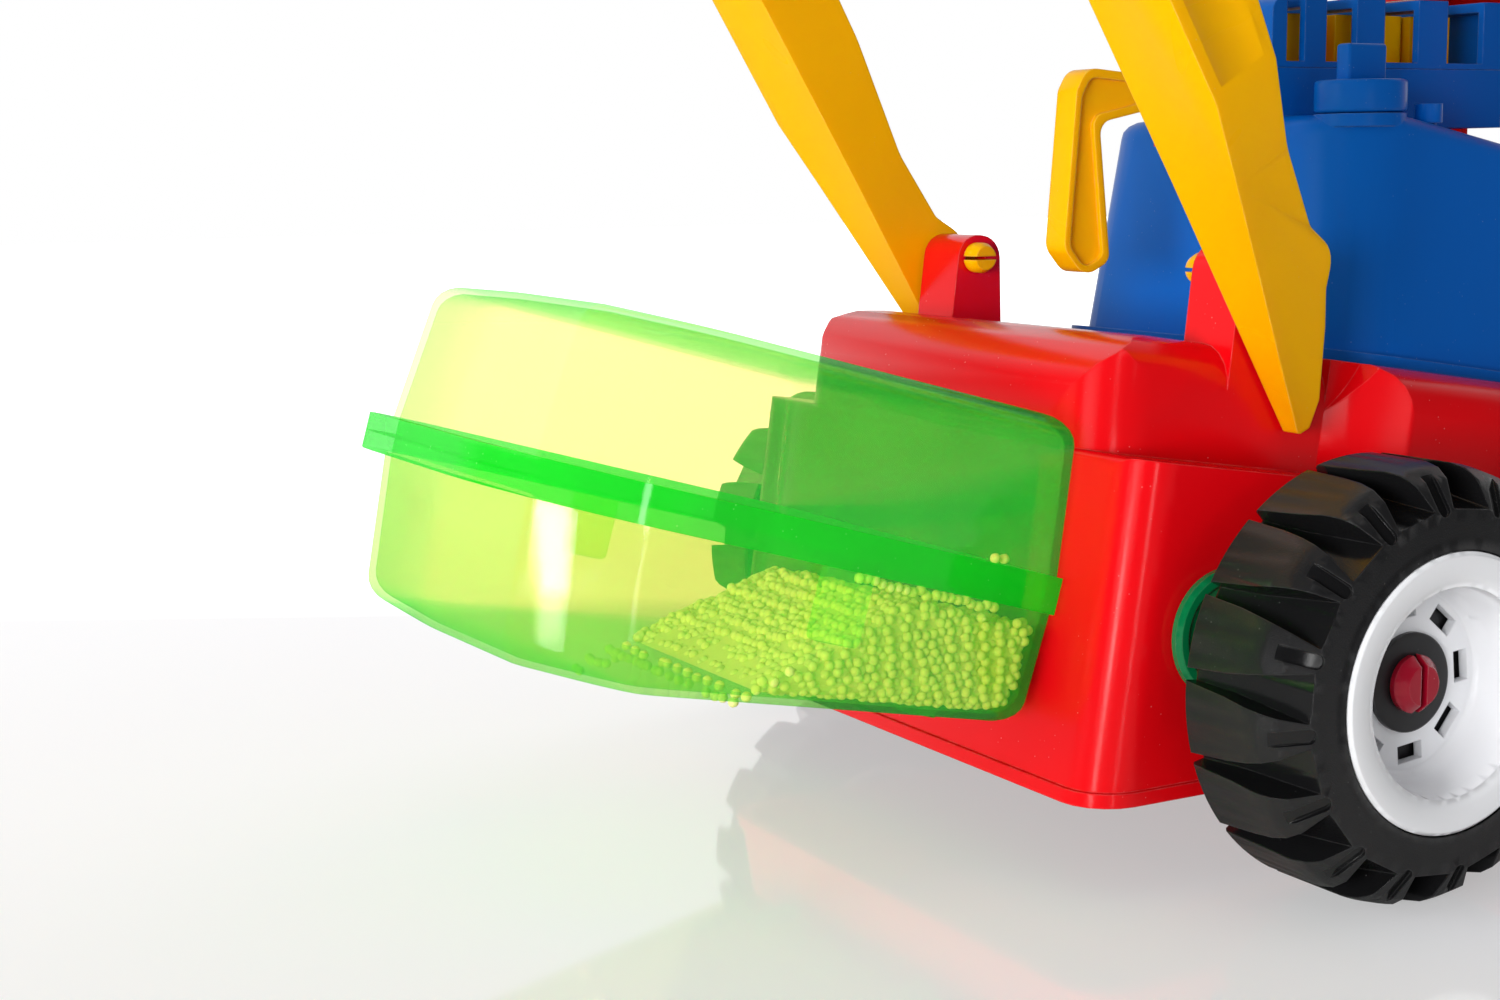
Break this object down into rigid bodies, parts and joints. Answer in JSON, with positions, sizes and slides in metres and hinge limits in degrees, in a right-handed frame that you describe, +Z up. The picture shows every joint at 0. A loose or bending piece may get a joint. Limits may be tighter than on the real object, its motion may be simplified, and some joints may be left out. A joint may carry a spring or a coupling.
{
  "type": "toy bulldozer",
  "caption": "Toy wheel loader in red, yellow and blue plastic, with a raised bucket, ribbed black tyres and a clear green bead container on its nose.",
  "frame": {"origin": "on the floor, under the middle of the whole part's bounding box", "axes": "+Z up, the front of the vehicle and its bucket towards -Y, the axles along X"},
  "size_m": [0.3174, 0.5424, 0.4488],
  "materials": {
    "red_plastic": "gloss",
    "blue_plastic": "satin",
    "yellow_plastic": "gloss",
    "tyre_rubber": "satin",
    "white_plastic": "gloss",
    "black_plastic": "satin",
    "dark_red_plastic": "gloss",
    "green_plastic": "gloss",
    "clear_green_plastic": "translucent gloss",
    "beads": "matte",
    "zinc_screws": "satin"
  },
  "bodies": {
    "body": {"chassis_shell": "red_plastic", "deck_screws": "zinc_screws", "front_axle": "dark_red_plastic", "rear_axle": "dark_red_plastic", "container_pin": "green_plastic", "container_pin_cap": "green_plastic", "container_bracket": "green_plastic", "container_upper": "clear_green_plastic", "container_lower": "clear_green_plastic", "container_catches": "clear_green_plastic", "bead_fill": "beads", "hood": "blue_plastic", "engine_cage": "blue_plastic", "engine_block": "yellow_plastic", "breather_stub": "blue_plastic", "lever_bracket": "red_plastic", "lever_pin": "red_plastic", "cab_frame": "red_plastic", "cab_roof": "yellow_plastic", "seat": "black_plastic", "steering_column": "black_plastic"},
    "wheel_front_left": {"tyre_front_left": "tyre_rubber", "rim_front_left": "white_plastic", "washer_front_left": "black_plastic"},
    "wheel_front_right": {"tyre_front_right": "tyre_rubber", "rim_front_right": "white_plastic", "washer_front_right": "black_plastic"},
    "wheel_rear_left": {"tyre_rear_left": "tyre_rubber", "rim_rear_left": "white_plastic", "washer_rear_left": "black_plastic"},
    "wheel_rear_right": {"tyre_rear_right": "tyre_rubber", "rim_rear_right": "white_plastic", "washer_rear_right": "black_plastic"},
    "arms": {"arm_left": "yellow_plastic", "arm_right": "yellow_plastic", "arm_pin_left": "yellow_plastic", "arm_pin_right": "yellow_plastic", "arm_cross_tube": "yellow_plastic", "bucket_pin_left": "yellow_plastic", "bucket_pin_right": "yellow_plastic"},
    "bucket_body": {"bucket": "yellow_plastic"},
    "crank": {"crank_lever": "yellow_plastic"},
    "cap": {"filler_cap": "blue_plastic"},
    "wheel_steering": {"steering_wheel": "black_plastic"}
  },
  "joints": [
    {"name": "front_left_spin", "type": "hinge", "parent": "body", "child": "wheel_front_left", "pos_m": [-0.136, 0.02587, 0.06], "axis": [1, 0, 0], "continuous": true},
    {"name": "front_right_spin", "type": "hinge", "parent": "body", "child": "wheel_front_right", "pos_m": [0.136, 0.02587, 0.06], "axis": [1, 0, 0], "continuous": true},
    {"name": "rear_left_spin", "type": "hinge", "parent": "body", "child": "wheel_rear_left", "pos_m": [-0.136, 0.20187, 0.06], "axis": [1, 0, 0], "continuous": true},
    {"name": "rear_right_spin", "type": "hinge", "parent": "body", "child": "wheel_rear_right", "pos_m": [0.136, 0.20187, 0.06], "axis": [1, 0, 0], "continuous": true},
    {"name": "arm_lift", "type": "hinge", "parent": "body", "child": "arms", "pos_m": [0, 0.0238, 0.16758], "axis": [1, 0, 0], "range_deg": [0, 67]},
    {"name": "bucket_tilt", "type": "hinge", "parent": "arms", "child": "bucket_body", "pos_m": [0, -0.18762, 0.37428], "axis": [1, 0, 0], "range_deg": [-28, 55]},
    {"name": "crank_swing", "type": "hinge", "parent": "body", "child": "crank", "pos_m": [0, 0.06387, 0.22], "axis": [1, 0, 0], "range_deg": [-70, 0]},
    {"name": "cap_turn", "type": "hinge", "parent": "body", "child": "cap", "pos_m": [0.048, 0.09287, 0.216], "axis": [0, 0, 1], "continuous": true},
    {"name": "steering_turn", "type": "hinge", "parent": "body", "child": "wheel_steering", "pos_m": [0, 0.20855, 0.16614], "axis": [0, 0.4067, 0.9135], "continuous": true}
  ]
}
